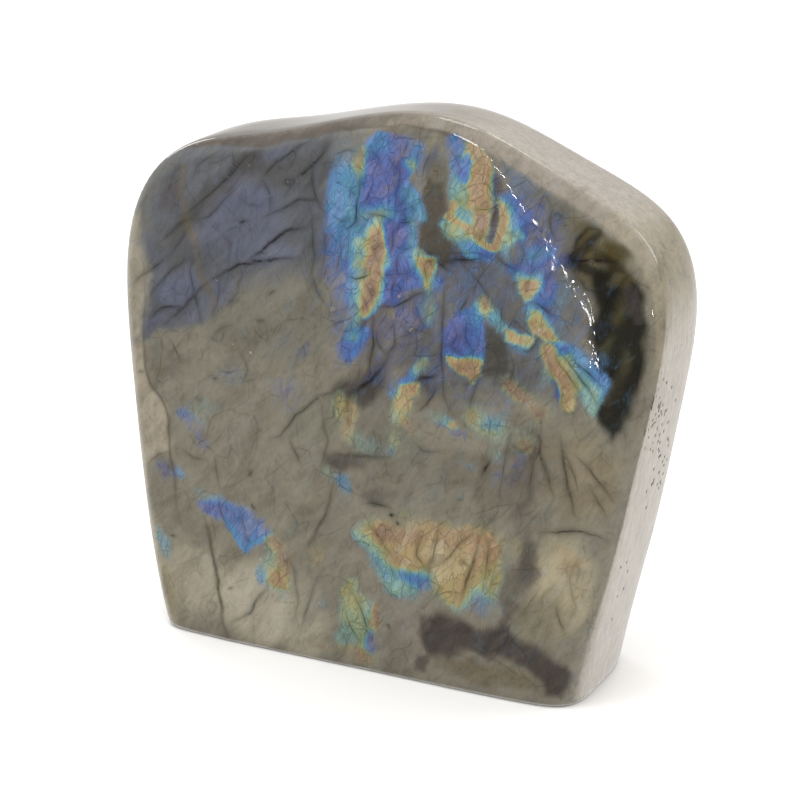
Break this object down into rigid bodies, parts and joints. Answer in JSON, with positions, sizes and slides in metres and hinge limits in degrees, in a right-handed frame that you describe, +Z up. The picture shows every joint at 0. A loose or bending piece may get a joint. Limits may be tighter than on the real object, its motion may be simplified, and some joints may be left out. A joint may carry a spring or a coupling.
{
  "type": "polished labradorite standing stone",
  "caption": "Polished labradorite freeform, a slab with a softly arched outline and rounded edges, that stands on its flat sawn foot.",
  "frame": {"origin": "on the flat foot, in the middle of the stone's width and depth", "axes": "+Z up as the stone stands, -Y out of the polished show face, +X to the right of a person who faces it"},
  "size_m": [0.116, 0.0354, 0.1129],
  "materials": {
    "stone": "polished, grey-olive with blue, teal and gold flashes"
  },
  "bodies": {
    "root": {"stone": "stone"}
  },
  "joints": []
}
